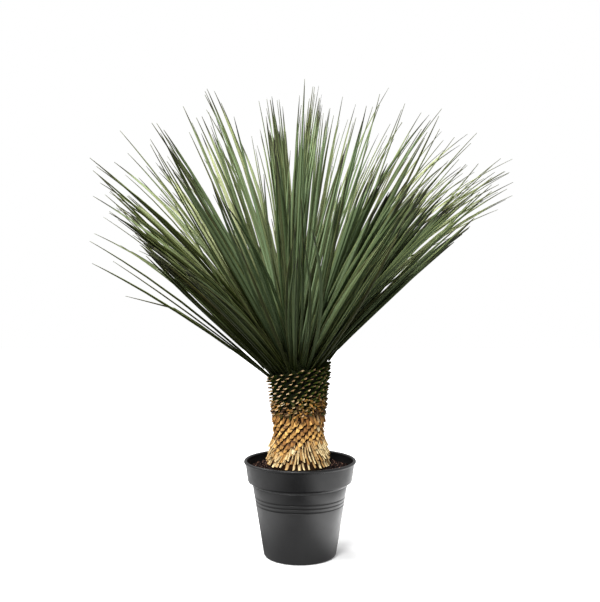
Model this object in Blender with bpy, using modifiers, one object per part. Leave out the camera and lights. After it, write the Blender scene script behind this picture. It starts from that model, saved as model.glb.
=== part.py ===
# A potted yucca: a round plastic nursery pot filled with soil, a short thick trunk that stands in
# a hole in the soil, a skirt of pale old leaf bases round its foot, a collar of cut green leaf
# bases, and a crown of stiff narrow leaves that fans out all round.
# Metres, +Z up. The origin is the centre of the pot's underside, and the front looks along -Y.

import math
import random

import bmesh
import bpy
from mathutils import Matrix, Vector, noise

# Pot
RIM_RADIUS = 0.1200
POT_HEIGHT = 0.2030
FOOT_RADIUS = 0.0768  # where the tapered side would meet the ground
FOOT_FILLET = 0.0060
WALL = 0.0022
FLOOR_TOP = 0.0046
BAND_LOW = (0.1114, 0.1590)  # radius and height of the band's lower edge
BAND_HIGH = (0.1166, 0.1965)
NECK = (0.1006, 0.1460)  # where the tapered side meets the step under the band
LIP_RADIUS = 0.0033
RECESS_RADII = (0.0340, 0.0590)  # a shallow ring in the underside, where the drain holes are
RECESS_DEPTH = 0.0018
GROOVE_HEIGHTS = (0.1145, 0.1205, 0.1285)
GROOVE_HALF_WIDTH = 0.0016
GROOVE_DEPTH = 0.0009
DRAIN_COUNT = 6
DRAIN_RADIUS = 0.0045
DRAIN_CIRCLE = 0.0465
POT_SIDES = 36

# Soil
SOIL_EDGE_HEIGHT = 0.1840
SOIL_STEM_HEIGHT = 0.1905  # it rises a little towards the trunk
SOIL_FLAT_RADIUS = 0.0800  # level up to here, where the skirt stands
SOIL_LUMP = 0.0016
SOIL_LUMPS_PER_METRE = 70
CLEAR = 0.0003  # between pieces that touch

# Trunk
STEM_X = -0.0030  # the trunk stands a little left of the pot's middle
STEM_FOOT = 0.1100
STEM_TOP = 0.3020
STEM_RADIUS = 0.0545
STEM_CHAMFER = 0.0040
SCALE_FOOT = 0.2510  # the scaly stretch starts here, just over the skirt
SCALE_ROWS = 7
SCALES_ROUND = 20
SCALE_RELIEF = 0.0034
SCALE_DROP = 0.0022

# Skirt of pale leaf bases
SKIRT_SIDE = (  # radius and height down its outer side, in two tiers with a step between them
    (0.0590, 0.2500),
    (0.0655, 0.2425),
    (0.0692, 0.2240),
    (0.0655, 0.2250),
    (0.0724, 0.2010),
    (0.0722, 0.1908),
)
SKIRT_STEP = 3  # the row of the side that the lower tier starts from
STRIPS_ROUND = 35
STRIP_GAP = 0.0030  # how deep the gap between two strips is
STRIP_BULGE = 0.0012
STRIP_RAGGED = 0.0060  # a strip may end this much higher than its neighbour
SKIRT_SEED = 5

# Collar of cut leaf bases
COLLAR_RADIUS = (0.0550, 0.0615)  # at its foot and its top
STUB_COUNT = 165
STUB_SIZE = (0.0138, 0.0036, 0.0190)  # across, thick, long
STUB_SUNK = 0.45  # share of its length
STUB_TAPER = 0.72
STUB_RISE = math.radians(26)
STUB_JITTER = math.radians(7)  # to either side of the rise
COLLAR_SEED = 8
COLLAR_TOP = 0.3900  # height of the slanted joint with the crown, on the trunk's axis
COLLAR_SLANT = math.radians(11)  # the joint is lower at the left

# Crown
GOLDEN_ANGLE = math.radians(137.50776)
DOME_RADIUS = 0.0600
DOME_DROP = 0.0100  # the dome's centre lies this far under the joint
LEAF_COUNT = 300
LEAF_SEED = 11
LEAF_REACH = (0.553, 0.568)  # length of an upright leaf, and of one that leans by LEAN_FULL
LEAN_FULL = math.radians(42)
LEAF_SPREAD = (0.368, 0.384)  # how far out a leaf may reach from its root, at the left and the right
LEAF_LEAN_MOST = math.radians(51)
LEAN_SIDE = 0.13  # leaves lean out by this share more at the front left, and less at the back right
LEAN_AZIMUTH = math.radians(45)  # the back right
LEAN_TO_DOME = 1.46  # a root's angle on the dome, as a multiple of its leaf's lean
DOME_ANGLE_MOST = math.radians(80)
ROOT_SINK = 0.0120
LEAF_WIDTH = 0.0106
LEAF_KEEL = 0.0017
LEAN_JITTER = math.radians(1.5)
AZIMUTH_JITTER = math.radians(2.0)
LENGTH_RANGE = (0.90, 1.02)
WIDTH_RANGE = (0.85, 1.10)
ARCH_RANGE = (-0.028, 0.098)  # drop of a level leaf's tip, as a share of its length
TWIST_MOST = math.radians(30)
BLADE_RINGS = ((0.0, 0.66), (0.42, 1.0), (0.78, 0.62))  # share of the length, share of the width
STRAY_LEAVES = ((178, 57.5), (187, 56.5), (169, 57.0))  # azimuth and lean in degrees, low at the left
STRAY_TWIST = math.radians(12)

COLOURS = {  # base colour, roughness
    "pot": ((0.050, 0.050, 0.052), 0.50),
    "soil": ((0.030, 0.019, 0.013), 0.95),
    "trunk": ((0.270, 0.150, 0.060), 0.85),
    "skirt": ((0.620, 0.430, 0.200), 0.80),
    "collar": ((0.060, 0.075, 0.025), 0.70),
    "crown": ((0.090, 0.135, 0.060), 0.50),
}


def new_collection(name, hidden=False):
    made = bpy.data.collections.new(name)
    bpy.context.scene.collection.children.link(made)
    made.hide_render = hidden
    return made


def finish(obj, name, collection):
    """Names the object, gives it its material and shades it smooth where it is round."""
    obj.name = obj.data.name = name
    colour, roughness = COLOURS[name]
    material = bpy.data.materials.new(name)
    material.use_nodes = True
    shader = material.node_tree.nodes["Principled BSDF"]
    shader.inputs["Base Color"].default_value = (*colour, 1)
    shader.inputs["Roughness"].default_value = roughness
    obj.data.materials.clear()
    obj.data.materials.append(material)
    obj.data.shade_smooth()
    obj.data.set_sharp_from_angle(angle=math.radians(35))
    if name not in collection.objects:
        collection.objects.link(obj)
    return obj


def mesh_object(name, bm, collection=None):
    mesh = bpy.data.meshes.new(name)
    bm.to_mesh(mesh)
    bm.free()
    obj = bpy.data.objects.new(name, mesh)
    if collection:
        collection.objects.link(obj)
    return obj


def rounded(before, corner, after, radius, steps=3):
    """Points of the arc that rounds a profile's corner."""
    corner = Vector(corner)
    to_before = (Vector(before) - corner).normalized()
    to_after = (Vector(after) - corner).normalized()
    half = to_before.angle(to_after) / 2
    centre = corner + (to_before + to_after).normalized() * (radius / math.sin(half))
    start = corner + to_before * (radius / math.tan(half)) - centre
    end = corner + to_after * (radius / math.tan(half)) - centre
    turn = start.angle_signed(end)
    points = []
    for k in range(steps + 1):
        angle = -turn * k / steps
        spoke = Matrix.Rotation(angle, 2) @ start
        points.append(tuple(centre + spoke))
    return points


def turned(name, profile, sides, collection):
    """A solid of revolution, from a profile of (radius, height) points that runs down its outer side.
    A profile that ends off the axis is closed to its first point, which makes a ring."""
    bm = bmesh.new()
    corners = [bm.verts.new((radius, 0, height)) for radius, height in profile]
    if profile[-1][0] > 0:
        corners.append(corners[0])
    for first, second in zip(corners, corners[1:]):
        bm.edges.new((first, second))
    obj = mesh_object(name, bm, collection)
    screw = obj.modifiers.new("turn", "SCREW")
    screw.steps = screw.render_steps = sides
    screw.use_merge_vertices = True
    screw.merge_threshold = 0.00001
    return bake(obj)


def bake(obj):
    """Applies the object's modifiers."""
    bpy.context.view_layer.update()
    graph = bpy.context.evaluated_depsgraph_get()
    old = obj.data
    obj.data = bpy.data.meshes.new_from_object(obj.evaluated_get(graph))
    obj.modifiers.clear()
    bpy.data.meshes.remove(old)
    return obj


def cut(obj, cutter, solver="EXACT"):
    boolean = obj.modifiers.new("cut", "BOOLEAN")
    boolean.operation = "DIFFERENCE"
    boolean.object = cutter
    boolean.solver = solver
    bake(obj)
    bpy.data.objects.remove(cutter)


def fuse(obj, repeats):
    """Joins a collection of repeats to the object, and removes them."""
    boolean = obj.modifiers.new("fuse", "BOOLEAN")
    boolean.operation = "UNION"
    boolean.operand_type = "COLLECTION"
    boolean.collection = repeats
    boolean.solver = "MANIFOLD"
    bake(obj)
    for repeat in list(repeats.objects):
        bpy.data.objects.remove(repeat)
    bpy.data.collections.remove(repeats)


def radius_at(height, low, high):
    """Radius at a height on the straight side between two (radius, height) points."""
    return low[0] + (high[0] - low[0]) * (height - low[1]) / (high[1] - low[1])


def groove_points():
    """The three grooves pressed into the outer side."""
    points = []
    for middle in GROOVE_HEIGHTS:
        for offset, depth in ((-1, 0), (0, GROOVE_DEPTH), (1, 0)):
            height = middle + offset * GROOVE_HALF_WIDTH
            points.append((radius_at(height, (FOOT_RADIUS, 0), NECK) - depth, height))
    return points


def inner_side():
    """The pot's inner side from its floor to the lip, one wall inside the outer side."""
    foot = (radius_at(FLOOR_TOP, (FOOT_RADIUS, 0), NECK) - WALL, FLOOR_TOP)
    neck = (NECK[0] - WALL, NECK[1] + WALL)
    return [
        *rounded((0, FLOOR_TOP), foot, neck, FOOT_FILLET, steps=2),
        neck,
        (BAND_LOW[0] - WALL, BAND_LOW[1] + WALL),
        (BAND_HIGH[0] - WALL, BAND_HIGH[1]),
    ]


def build_pot(collection):
    outer = [
        *rounded((0, 0), (FOOT_RADIUS, 0), NECK, FOOT_FILLET),
        *groove_points(),
        NECK,
        (NECK[0] + 0.0016, NECK[1] + 0.0030),
        (BAND_LOW[0] - 0.0032, BAND_LOW[1] - 0.0040),
        (BAND_LOW[0] - 0.0007, BAND_LOW[1] - 0.0017),
        BAND_LOW,
        BAND_HIGH,
    ]
    lip_middle = Vector((RIM_RADIUS - LIP_RADIUS, POT_HEIGHT - LIP_RADIUS))
    lip = []
    for k in range(5):
        angle = math.radians(-30 + 60 * k)
        lip.append(tuple(lip_middle + Vector((math.cos(angle), math.sin(angle))) * LIP_RADIUS))
    underside = [
        (RECESS_RADII[1] + 0.001, 0),
        (RECESS_RADII[1], RECESS_DEPTH),
        (RECESS_RADII[0], RECESS_DEPTH),
        (RECESS_RADII[0] - 0.001, 0),
        (0, 0),
    ]
    profile = [(0, FLOOR_TOP), *inner_side(), *lip[::-1], *outer[::-1], *underside]
    pot = turned("pot", profile, POT_SIDES, collection)
    for k in range(DRAIN_COUNT):
        angle = math.tau * k / DRAIN_COUNT
        bpy.ops.mesh.primitive_cylinder_add(
            vertices=10,
            radius=DRAIN_RADIUS,
            depth=FLOOR_TOP * 4,
            location=(DRAIN_CIRCLE * math.cos(angle), DRAIN_CIRCLE * math.sin(angle), 0),
        )
        cut(pot, bpy.context.object)
    return finish(pot, "pot", collection)


def build_soil(collection):
    """Fills the pot to just under its band's top, lumpy on top, with a plain hole for the trunk."""
    side = [(r - CLEAR, z + CLEAR) for r, z in inner_side()]
    top_side = (radius_at(SOIL_EDGE_HEIGHT, side[-2], side[-1]), SOIL_EDGE_HEIGHT)
    rings = [SOIL_FLAT_RADIUS + (top_side[0] - SOIL_FLAT_RADIUS) * k / 3 for k in range(3)]
    top = [(0, SOIL_STEM_HEIGHT), *[(ring, SOIL_STEM_HEIGHT) for ring in rings], top_side]
    soil = turned("soil", [*top, *side[:-1][::-1], (0, side[0][1])], POT_SIDES, collection)
    for vertex in soil.data.vertices:
        out = math.hypot(vertex.co.x, vertex.co.y)
        if vertex.co.z < SOIL_EDGE_HEIGHT - CLEAR or out < SOIL_FLAT_RADIUS + CLEAR:
            continue
        fall = (out - SOIL_FLAT_RADIUS) / (top_side[0] - SOIL_FLAT_RADIUS)
        base = SOIL_STEM_HEIGHT + (SOIL_EDGE_HEIGHT - SOIL_STEM_HEIGHT) * min(fall, 1)
        vertex.co.z = base + SOIL_LUMP * noise.noise(vertex.co * SOIL_LUMPS_PER_METRE)
    bpy.ops.mesh.primitive_cylinder_add(
        vertices=32,
        radius=STEM_RADIUS + CLEAR,
        depth=2 * (SOIL_STEM_HEIGHT + CLEAR - STEM_FOOT),
        location=(STEM_X, 0, SOIL_STEM_HEIGHT),
    )
    cut(soil, bpy.context.object)
    return finish(soil, "soil", collection)


def build_trunk(collection):
    """A thick stem, plain in the soil and under the skirt, scaly above. Its scales are raised from
    the turned surface: every second point of a staggered grid stands out and hangs down."""
    grid = 2 * SCALE_ROWS
    pitch = (STEM_TOP - SCALE_FOOT) / grid
    heights = [STEM_TOP - pitch * row for row in range(grid + 1)]
    profile = [(0, STEM_TOP), *[(STEM_RADIUS, height) for height in heights]]
    profile += [
        (STEM_RADIUS, STEM_FOOT + STEM_CHAMFER),
        (STEM_RADIUS - STEM_CHAMFER, STEM_FOOT),
        (0, STEM_FOOT),
    ]
    trunk = turned("trunk", profile, 2 * SCALES_ROUND, collection)
    step = math.tau / (2 * SCALES_ROUND)
    for vertex in trunk.data.vertices:
        row = round((STEM_TOP - vertex.co.z) / pitch)
        on_grid = 0 < row < grid and math.hypot(vertex.co.x, vertex.co.y) > STEM_RADIUS / 2
        column = round(math.atan2(vertex.co.y, vertex.co.x) / step)
        if on_grid and (row + column) % 2 == 0:
            stretch = 1 + SCALE_RELIEF / STEM_RADIUS
            vertex.co.x *= stretch
            vertex.co.y *= stretch
            vertex.co.z -= SCALE_DROP
    trunk.data.transform(Matrix.Translation((STEM_X, 0, 0)))
    return finish(trunk, "trunk", collection)


def wedge(size, taper):
    """A box that stands on its lower end, with its far end narrowed to taper times its size."""
    across, thick, length = size
    bm = bmesh.new()
    bmesh.ops.create_cube(bm, size=1)
    bmesh.ops.translate(bm, verts=bm.verts, vec=(0, 0, 0.5))
    bmesh.ops.scale(bm, verts=bm.verts, vec=(across, thick, length))
    for vertex in bm.verts:
        share = 1 + (taper - 1) * vertex.co.z / length
        vertex.co.x *= share
        vertex.co.y *= share
    return bm


def build_skirt(collection):
    """A flared ring of pale old leaf bases. Its strips hang down in two tiers, and are raised from the
    turned surface: each takes two columns of points, and the third one sinks as the gap beside it."""
    inner = STEM_RADIUS + CLEAR
    profile = [(inner, SKIRT_SIDE[0][1]), *SKIRT_SIDE, (inner, SKIRT_SIDE[-1][1])]
    columns = 3 * STRIPS_ROUND
    skirt = turned("skirt", profile, columns, collection)
    draw = random.Random(SKIRT_SEED)
    bulges = [[draw.uniform(0, STRIP_BULGE) for _ in range(STRIPS_ROUND)] for _ in range(2)]
    ends = [[draw.uniform(0, STRIP_RAGGED) for _ in range(STRIPS_ROUND)] for _ in range(2)]
    for vertex in skirt.data.vertices:
        out = math.hypot(vertex.co.x, vertex.co.y)
        if out < inner + CLEAR:
            continue
        row = min(
            range(len(SKIRT_SIDE)),
            key=lambda k: abs(SKIRT_SIDE[k][0] - out) + abs(SKIRT_SIDE[k][1] - vertex.co.z),
        )
        tier = 0 if row < SKIRT_STEP else 1
        column = round(math.atan2(vertex.co.y, vertex.co.x) / math.tau * columns) + tier
        strip = column // 3 % STRIPS_ROUND
        lift = -STRIP_GAP if column % 3 == 2 else bulges[tier][strip]
        if row > 0:
            vertex.co.x *= 1 + lift / out
            vertex.co.y *= 1 + lift / out
        if row in (SKIRT_STEP - 1, SKIRT_STEP):
            upper = (column + 1 - tier) // 3 % STRIPS_ROUND
            vertex.co.z += ends[0][upper]
        elif row == len(SKIRT_SIDE) - 1:
            vertex.co.z += ends[1][strip]
    skirt.data.transform(Matrix.Translation((STEM_X, 0, 0)))
    return finish(skirt, "skirt", collection)


def joint_height(x):
    """Height of the slanted joint between collar and crown, at x from the trunk's axis."""
    return COLLAR_TOP + x * math.tan(COLLAR_SLANT)


def joint_block(above):
    """A block with one face on the slanted joint, which clears all that lies on that side of it."""
    size = 0.4
    bpy.ops.mesh.primitive_cube_add(size=size)
    block = bpy.context.object
    lift = size / 2 + CLEAR / 2 if above else -size / 2 + CLEAR / 2
    block.data.transform(Matrix.Translation((0, 0, lift)))
    block.data.transform(Matrix.Rotation(-COLLAR_SLANT, 4, "Y"))
    block.data.transform(Matrix.Translation((0, 0, COLLAR_TOP - (CLEAR if above else 0))))
    return block


def build_collar(collection):
    """A short thick stretch of stem with cut leaf bases that stand up and out, in a spiral."""
    foot = STEM_TOP + CLEAR
    high = joint_height(COLLAR_RADIUS[1])
    profile = [(0, high), (COLLAR_RADIUS[1], high), (COLLAR_RADIUS[0], foot), (0, foot)]
    collar = turned("collar", profile, 36, collection)
    cut(collar, joint_block(above=True))
    stubs = new_collection("stubs", hidden=True)
    draw = random.Random(COLLAR_SEED)
    for k in range(STUB_COUNT):
        turn = k * GOLDEN_ANGLE
        share = (k + 0.5) / STUB_COUNT
        height = foot + STUB_SIZE[1] + (high - foot) * share
        wide, thick, long = STUB_SIZE
        wide *= draw.uniform(0.85, 1.1)
        long *= draw.uniform(0.88, 1.08)
        rise = STUB_RISE + draw.uniform(-STUB_JITTER, STUB_JITTER)
        surface = COLLAR_RADIUS[0] + (COLLAR_RADIUS[1] - COLLAR_RADIUS[0]) * share
        out = surface - long * STUB_SUNK * math.cos(rise)
        tip = height + long * math.sin(rise) + thick / 2
        reach = out + long * math.cos(rise) * (1 if math.cos(turn) < 0 else STUB_SUNK)
        if tip > joint_height(reach * math.cos(turn)) - CLEAR:
            continue
        stub = mesh_object("stub", wedge((wide, thick, long), STUB_TAPER), stubs)
        stub.data.transform(Matrix.Rotation(math.pi / 2, 4, "Z"))
        stub.data.transform(Matrix.Rotation(math.pi / 2 - rise, 4, "Y"))
        stub.data.transform(Matrix.Translation((out, 0, height)))
        stub.data.transform(Matrix.Rotation(turn, 4, "Z"))
    fuse(collar, stubs)
    collar.data.transform(Matrix.Translation((STEM_X, 0, 0)))
    return finish(collar, "collar", collection)


def blade():
    """One straight leaf along +Z, one unit long and one unit wide: flat on its upper side, which
    faces -Y here, with a low keel under it, and drawn out to a point."""
    bm = bmesh.new()
    bmesh.ops.create_cone(bm, cap_ends=True, segments=3, radius1=1, radius2=0, depth=1)
    bmesh.ops.translate(bm, verts=bm.verts, vec=(0, 0, 0.5))
    for share, _ in BLADE_RINGS[1:]:
        everything = bm.verts[:] + bm.edges[:] + bm.faces[:]
        bmesh.ops.bisect_plane(bm, geom=everything, plane_co=(0, 0, share), plane_no=(0, 0, 1))
    mesh = bpy.data.meshes.new("blade")
    bm.to_mesh(mesh)
    bm.free()
    widths = {round(share, 3): width for share, width in BLADE_RINGS}
    for vertex in mesh.vertices:
        ring = math.hypot(vertex.co.x, vertex.co.y)
        width = widths.get(round(vertex.co.z, 3), 0)
        if ring > 1e-6:
            angle = math.atan2(vertex.co.y, vertex.co.x)
            # A cone of three sides has its corners at 90, 210 and 330 degrees.
            vertex.co.x = round(math.cos(angle) / math.cos(math.radians(30))) * width / 2
            vertex.co.y = width if angle > 0 else 0
    return mesh


def leaf_length(azimuth, lean):
    """Leaves that lean further out are a little longer, up to the head's full spread."""
    reach = LEAF_REACH[0] + (LEAF_REACH[1] - LEAF_REACH[0]) * min(lean / LEAN_FULL, 1)
    left, right = LEAF_SPREAD
    spread = (left + right + (right - left) * math.cos(azimuth)) / 2
    return min(reach, spread / max(math.sin(lean), 0.1))


def leaf_plan():
    """Azimuth, angle on the dome, lean, length, width, arch and twist of every leaf, from the heart
    outwards."""
    draw = random.Random(LEAF_SEED)
    plan = []
    for k in range(LEAF_COUNT):
        share = (k + 0.5) / LEAF_COUNT
        lean = math.acos(1 - (1 - math.cos(LEAF_LEAN_MOST)) * share)
        lean = abs(lean + draw.uniform(-LEAN_JITTER, LEAN_JITTER))
        azimuth = k * GOLDEN_ANGLE + draw.uniform(-AZIMUTH_JITTER, AZIMUTH_JITTER)
        dome_angle = min(lean * LEAN_TO_DOME, DOME_ANGLE_MOST)
        lean *= 1 - LEAN_SIDE * math.cos(azimuth - LEAN_AZIMUTH)
        length = leaf_length(azimuth, lean) * draw.uniform(*LENGTH_RANGE)
        width = LEAF_WIDTH * draw.uniform(*WIDTH_RANGE)
        arch = draw.uniform(*ARCH_RANGE) * math.sin(lean)
        twist = draw.uniform(-TWIST_MOST, TWIST_MOST)
        plan.append((azimuth, dome_angle, lean, length, width, arch, twist))
    for stray, degrees in STRAY_LEAVES:
        azimuth = math.radians(stray)
        lean = math.radians(degrees)
        length = leaf_length(azimuth, lean)
        plan.append((azimuth, DOME_ANGLE_MOST, lean, length, LEAF_WIDTH, 0, STRAY_TWIST))
    return plan


def place_blade(mesh, azimuth, dome_angle, lean, length, width, arch, twist):
    """Puts a blade on the dome: rooted in it, leaning out from the head's axis and arched."""
    along = Vector((math.sin(lean), 0, math.cos(lean)))
    upper = Vector((-math.cos(lean), 0, math.sin(lean)))
    full = length + ROOT_SINK
    for vertex in mesh.vertices:
        share = vertex.co.z
        across = vertex.co.x * width
        under = vertex.co.y * LEAF_KEEL
        turn = twist * share
        side = across * math.cos(turn) + under * math.sin(turn)
        down = under * math.cos(turn) - across * math.sin(turn)
        point = along * (full * share - ROOT_SINK) - upper * (down + arch * full * share**2)
        vertex.co = point - Vector((0, side, 0))
    mesh.transform(Matrix.Rotation(azimuth, 4, "Z"))
    root = Matrix.Rotation(dome_angle, 3, "Y") @ Vector((0, 0, DOME_RADIUS))
    root.rotate(Matrix.Rotation(azimuth, 3, "Z"))
    root.rotate(Matrix.Rotation(-COLLAR_SLANT, 3, "Y"))
    mesh.transform(Matrix.Translation(root))


def build_crown(collection):
    """The heart of the head, a low dome, and its leaves, fused to it."""
    bpy.ops.mesh.primitive_uv_sphere_add(segments=24, ring_count=12, radius=DOME_RADIUS)
    crown = bpy.context.object
    crown.users_collection[0].objects.unlink(crown)
    collection.objects.link(crown)
    leaves = new_collection("leaves", hidden=True)
    pattern = blade()
    for leaf in leaf_plan():
        mesh = pattern.copy()
        place_blade(mesh, *leaf)
        leaves.objects.link(bpy.data.objects.new("leaf", mesh))
    fuse(crown, leaves)
    crown.data.transform(Matrix.Translation((0, 0, COLLAR_TOP - DOME_DROP)))
    cut(crown, joint_block(above=False), solver="MANIFOLD")
    crown.data.transform(Matrix.Translation((STEM_X, 0, 0)))
    return finish(crown, "crown", collection)


def main():
    for old in list(bpy.data.objects):
        bpy.data.objects.remove(old)
    yucca = new_collection("potted_yucca")
    build_pot(yucca)
    build_soil(yucca)
    build_trunk(yucca)
    build_skirt(yucca)
    build_collar(yucca)
    build_crown(yucca)


main()
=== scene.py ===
import random
from math import acos, cos, degrees, hypot, pi, radians, sin, sqrt, tan, tau

import bpy
import numpy as np
from mathutils import Euler, Matrix, Vector, noise


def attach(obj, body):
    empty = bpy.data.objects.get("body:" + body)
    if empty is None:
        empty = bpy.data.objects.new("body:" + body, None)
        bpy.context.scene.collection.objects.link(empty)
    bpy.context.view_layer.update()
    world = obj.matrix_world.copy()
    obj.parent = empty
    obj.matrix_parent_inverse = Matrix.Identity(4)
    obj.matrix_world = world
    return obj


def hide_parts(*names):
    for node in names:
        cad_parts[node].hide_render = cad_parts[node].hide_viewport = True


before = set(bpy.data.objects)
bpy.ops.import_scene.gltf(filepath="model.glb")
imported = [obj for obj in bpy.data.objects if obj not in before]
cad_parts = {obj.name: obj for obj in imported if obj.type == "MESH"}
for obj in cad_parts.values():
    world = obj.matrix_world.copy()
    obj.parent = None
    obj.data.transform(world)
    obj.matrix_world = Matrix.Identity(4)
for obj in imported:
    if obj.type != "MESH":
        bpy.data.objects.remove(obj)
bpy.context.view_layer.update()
goldenAngle = radians(137.50776)
up = Vector((0, 0, 1))
stemX = -0.0030  # the stem stands a little to the left of the pot's axis


# small helpers

def deselectAll():
    bpy.ops.object.select_all(action="DESELECT")


def editMode():
    bpy.ops.object.mode_set(mode="EDIT")


def objectMode():
    bpy.ops.object.mode_set(mode="OBJECT")


def started(add, **settings):
    # a new primitive, light or camera, with nothing else selected
    deselectAll()
    add(**settings)
    return bpy.context.object


def pick(piece, test):
    # selects the vertices that pass the test, and goes to edit mode
    editMode()
    bpy.ops.mesh.select_mode(type="VERT")
    bpy.ops.mesh.select_all(action="DESELECT")
    objectMode()
    for vertex in piece.data.vertices:
        vertex.select = test(vertex.co)
    editMode()


def pointsOf(piece):
    points = np.empty(len(piece.data.vertices) * 3)
    piece.data.vertices.foreach_get("co", points)
    return points.reshape(-1, 3)


def copyAt(pattern, points, **marks):
    # a copy of the pattern with its own mesh, its points in their final place, and its own marks
    mesh = pattern.data.copy()
    mesh.vertices.foreach_set("co", points.ravel())
    for label, value in marks.items():
        shade = mesh.attributes.new(label, "FLOAT", "POINT")
        shade.data.foreach_set("value", [value] * len(mesh.vertices))
    piece = bpy.data.objects.new("copy", mesh)
    bpy.context.scene.collection.objects.link(piece)
    return piece


def applied(piece, kind, **settings):
    # a modifier is added to the piece and applied
    bpy.context.view_layer.objects.active = piece
    modifier = piece.modifiers.new("shape", kind)
    for label, value in settings.items():
        setattr(modifier, label, value)
    bpy.ops.object.modifier_apply(modifier=modifier.name)


def markFaces(piece, label, test):
    # 1 on the faces whose normal passes the test, 0 on the others
    shade = piece.data.attributes.new(label, "FLOAT", "FACE")
    shade.data.foreach_set("value", [float(test(face.normal)) for face in piece.data.polygons])


def smoothed(piece, angle):
    deselectAll()
    piece.select_set(True)
    bpy.ops.object.shade_smooth_by_angle(angle=angle)


def joined(name, pattern, copies):
    deselectAll()
    for copy in copies:
        copy.select_set(True)
    bpy.context.view_layer.objects.active = copies[0]
    bpy.ops.object.join()
    piece = bpy.context.object
    piece.name = piece.data.name = name
    bpy.data.objects.remove(pattern)
    return piece


def dress(piece, material, slotName, *replaced):
    piece.data.materials.clear()
    piece.data.materials.append(material)
    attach(piece, "root")
    if replaced:
        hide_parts(*replaced)
    print("made", piece.name, len(piece.data.polygons), "faces")


def roundCorner(before, corner, after, radius, steps):
    # points of the arc that rounds a corner of an outline
    corner = Vector(corner)
    toBefore = (Vector(before) - corner).normalized()
    toAfter = (Vector(after) - corner).normalized()
    half = toBefore.angle(toAfter) / 2
    centre = corner + (toBefore + toAfter).normalized() * (radius / sin(half))
    start = corner + toBefore * (radius / tan(half)) - centre
    end = corner + toAfter * (radius / tan(half)) - centre
    turn = -start.angle_signed(end)
    return [tuple(centre + Matrix.Rotation(turn * k / steps, 2) @ start) for k in range(steps + 1)]


def spinOutline(name, outline, steps):
    # one vertex is extruded along the outline, which is then spun round the Z axis
    piece = started(bpy.ops.mesh.primitive_plane_add, size=0.01, location=(0, 0, 0))
    piece.name = piece.data.name = name
    editMode()
    bpy.ops.mesh.merge(type="CENTER")
    bpy.ops.transform.translate(value=(outline[0][0], 0, outline[0][1]))
    for (r0, z0), (r1, z1) in zip(outline, outline[1:]):
        bpy.ops.mesh.extrude_region_move(TRANSFORM_OT_translate={"value": (r1 - r0, 0, z1 - z0)})
    bpy.ops.mesh.select_all(action="SELECT")
    bpy.ops.mesh.spin(steps=steps, angle=tau, center=(0, 0, 0), axis=(0, 0, 1))
    bpy.ops.mesh.select_all(action="SELECT")
    bpy.ops.mesh.remove_doubles(threshold=0.00002)
    bpy.ops.mesh.normals_make_consistent(inside=False)
    objectMode()
    return piece


def cutPattern(add, shares):
    # a primitive from Y = 0 to Y = 1, cut along its middle and across at the shares
    piece = started(add, size=1, location=(0, 0.5, 0))
    bpy.ops.object.transform_apply(location=True, rotation=False, scale=False)
    editMode()
    for place, normal in [((0, 0, 0), (1, 0, 0))] + [((0, share, 0), (0, 1, 0)) for share in shares]:
        bpy.ops.mesh.select_all(action="SELECT")
        bpy.ops.mesh.bisect(plane_co=place, plane_no=normal)
    return piece


def barPattern(across, thick, long, rings=3, keel=0.30, tip=0.62, slant=0.0, bend=0.0, edge=0.6):
    # a bar that runs along +Y and faces +Z, with a low ridge on its face, thinner edges, a narrower
    # and slanted far end, and a bend towards +Z
    piece = cutPattern(bpy.ops.mesh.primitive_cube_add, [k / (rings + 1) for k in range(1, rings + 1)])
    pick(piece, lambda co: abs(co.x) > 0.4)
    bpy.ops.transform.resize(value=(1, 1, edge), center_override=(0, 0, 0))
    pick(piece, lambda co: abs(co.x) < 0.01)
    bpy.ops.transform.translate(value=(0, 0, keel))
    for k in range(1, rings + 2):
        share = k / (rings + 1)
        pick(piece, lambda co: abs(co.y - share) < 0.01)
        size = 1 + (tip - 1) * share ** 2
        bpy.ops.transform.resize(value=(size, 1, size), center_override=(0, share, 0))
        bpy.ops.transform.translate(value=(0, 0, bend / thick * share ** 2))
    objectMode()
    for vertex in piece.data.vertices:
        share = vertex.co.y
        vertex.co.y += slant * vertex.co.x * max(share * 2 - 1, 0)
        vertex.co = (vertex.co.x * across, vertex.co.y * long, vertex.co.z * thick)
    # its own UV map: U across it, V along it
    for loop, spot in zip(piece.data.loops, piece.data.uv_layers.active.data):
        co = piece.data.vertices[loop.vertex_index].co
        spot.uv = (co.x / across + 0.5, co.y / long)
    markFaces(piece, "cutEnd", lambda normal: normal.y > 0.6)
    return piece


def stand(points, base, along, face):
    # puts a pattern's points at base, with its Y along and its Z towards face
    along = Vector(along).normalized()
    side = along.cross(Vector(face)).normalized()
    outward = side.cross(along)
    return points @ np.array([side, along, outward]) + np.array(base)


def around(angle, radius, height, middle=0.0):
    return Vector((middle + radius * cos(angle), radius * sin(angle), height))


def clamp(value):
    return min(max(value, 0), 1)


def blendValue(low, high, share):
    return low + (high - low) * clamp(share)


def facing(azimuth, side, sharp, off):
    # 1 on the side of the plant that looks towards that angle, and 0 further round
    return clamp(cos(azimuth - radians(side)) * sharp - off)


def varied(draw, *spans):
    return np.array([draw.uniform(*span) for span in spans])


def about(draw, reach):
    return draw.uniform(-reach, reach)


# shaders: these helpers build in the node tree that was opened last

opened = {}


def openTree(tree):
    opened["nodes"], opened["links"] = tree.nodes, tree.links


def feed(socket, value):
    # value is another socket, a colour or a number
    if isinstance(value, bpy.types.NodeSocket):
        opened["links"].new(value, socket)
    elif socket.type == "RGBA":
        socket.default_value = (*value, 1)
    else:
        socket.default_value = value


def node(kind, inputs, **settings):
    made = opened["nodes"].new("ShaderNode" + kind)
    for label, value in settings.items():
        setattr(made, label, value)
    for label, value in inputs.items():
        feed(made.inputs[label], value)
    return made.outputs


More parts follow.
